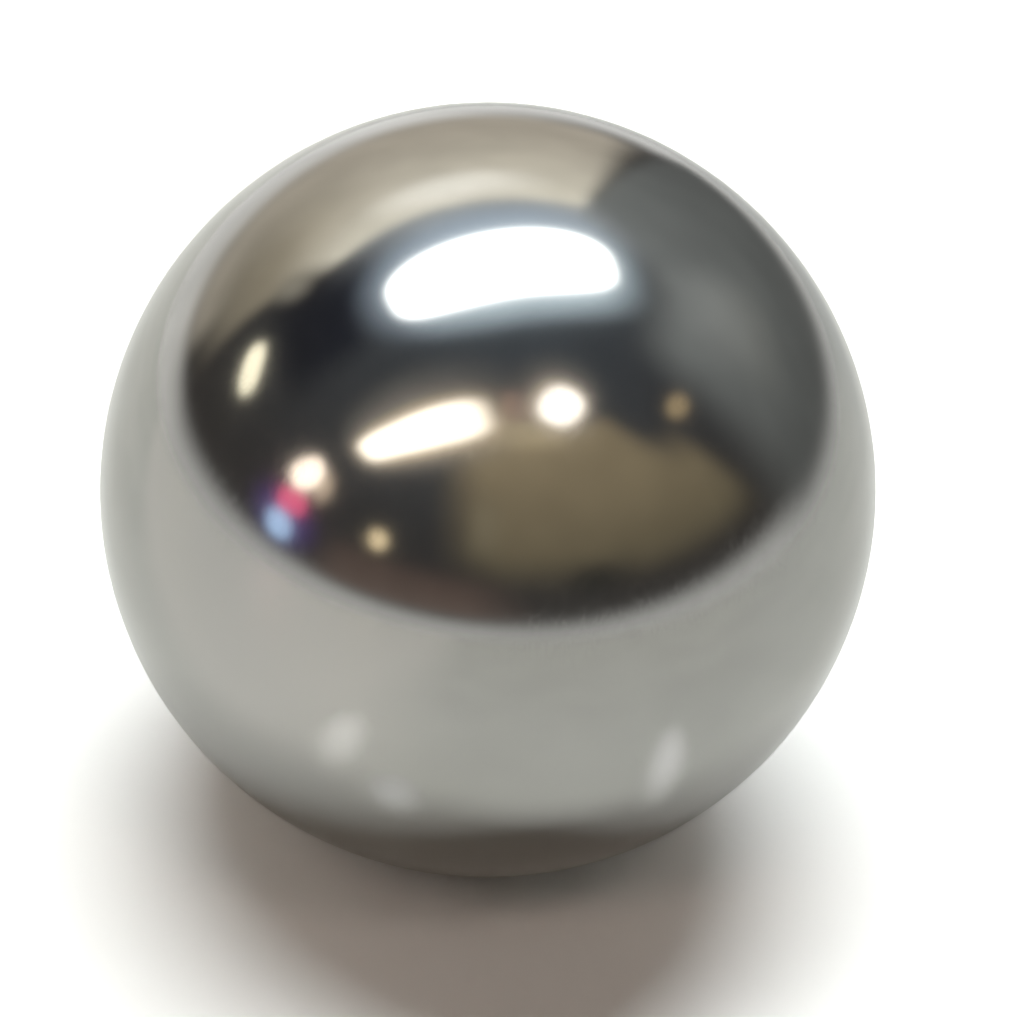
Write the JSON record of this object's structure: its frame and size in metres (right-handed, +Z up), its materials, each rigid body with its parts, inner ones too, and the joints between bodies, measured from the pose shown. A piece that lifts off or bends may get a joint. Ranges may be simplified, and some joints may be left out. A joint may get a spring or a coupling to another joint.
{
  "type": "steel ball",
  "caption": "Solid hardened steel ball, ground and lapped to a mirror finish, for a bearing, detent, check valve, fixture or bench use.",
  "frame": {"origin": "centre of the ball", "axes": "+Z up, away from the surface or cup that the ball lies in; the ball is the same about every axis through its centre"},
  "size_m": [0.02, 0.02, 0.02],
  "materials": {
    "lapped_steel": "bare hardened steel, ground and lapped to a mirror, with a faint lapping haze"
  },
  "bodies": {
    "root": {"ball": "lapped_steel"}
  },
  "joints": []
}
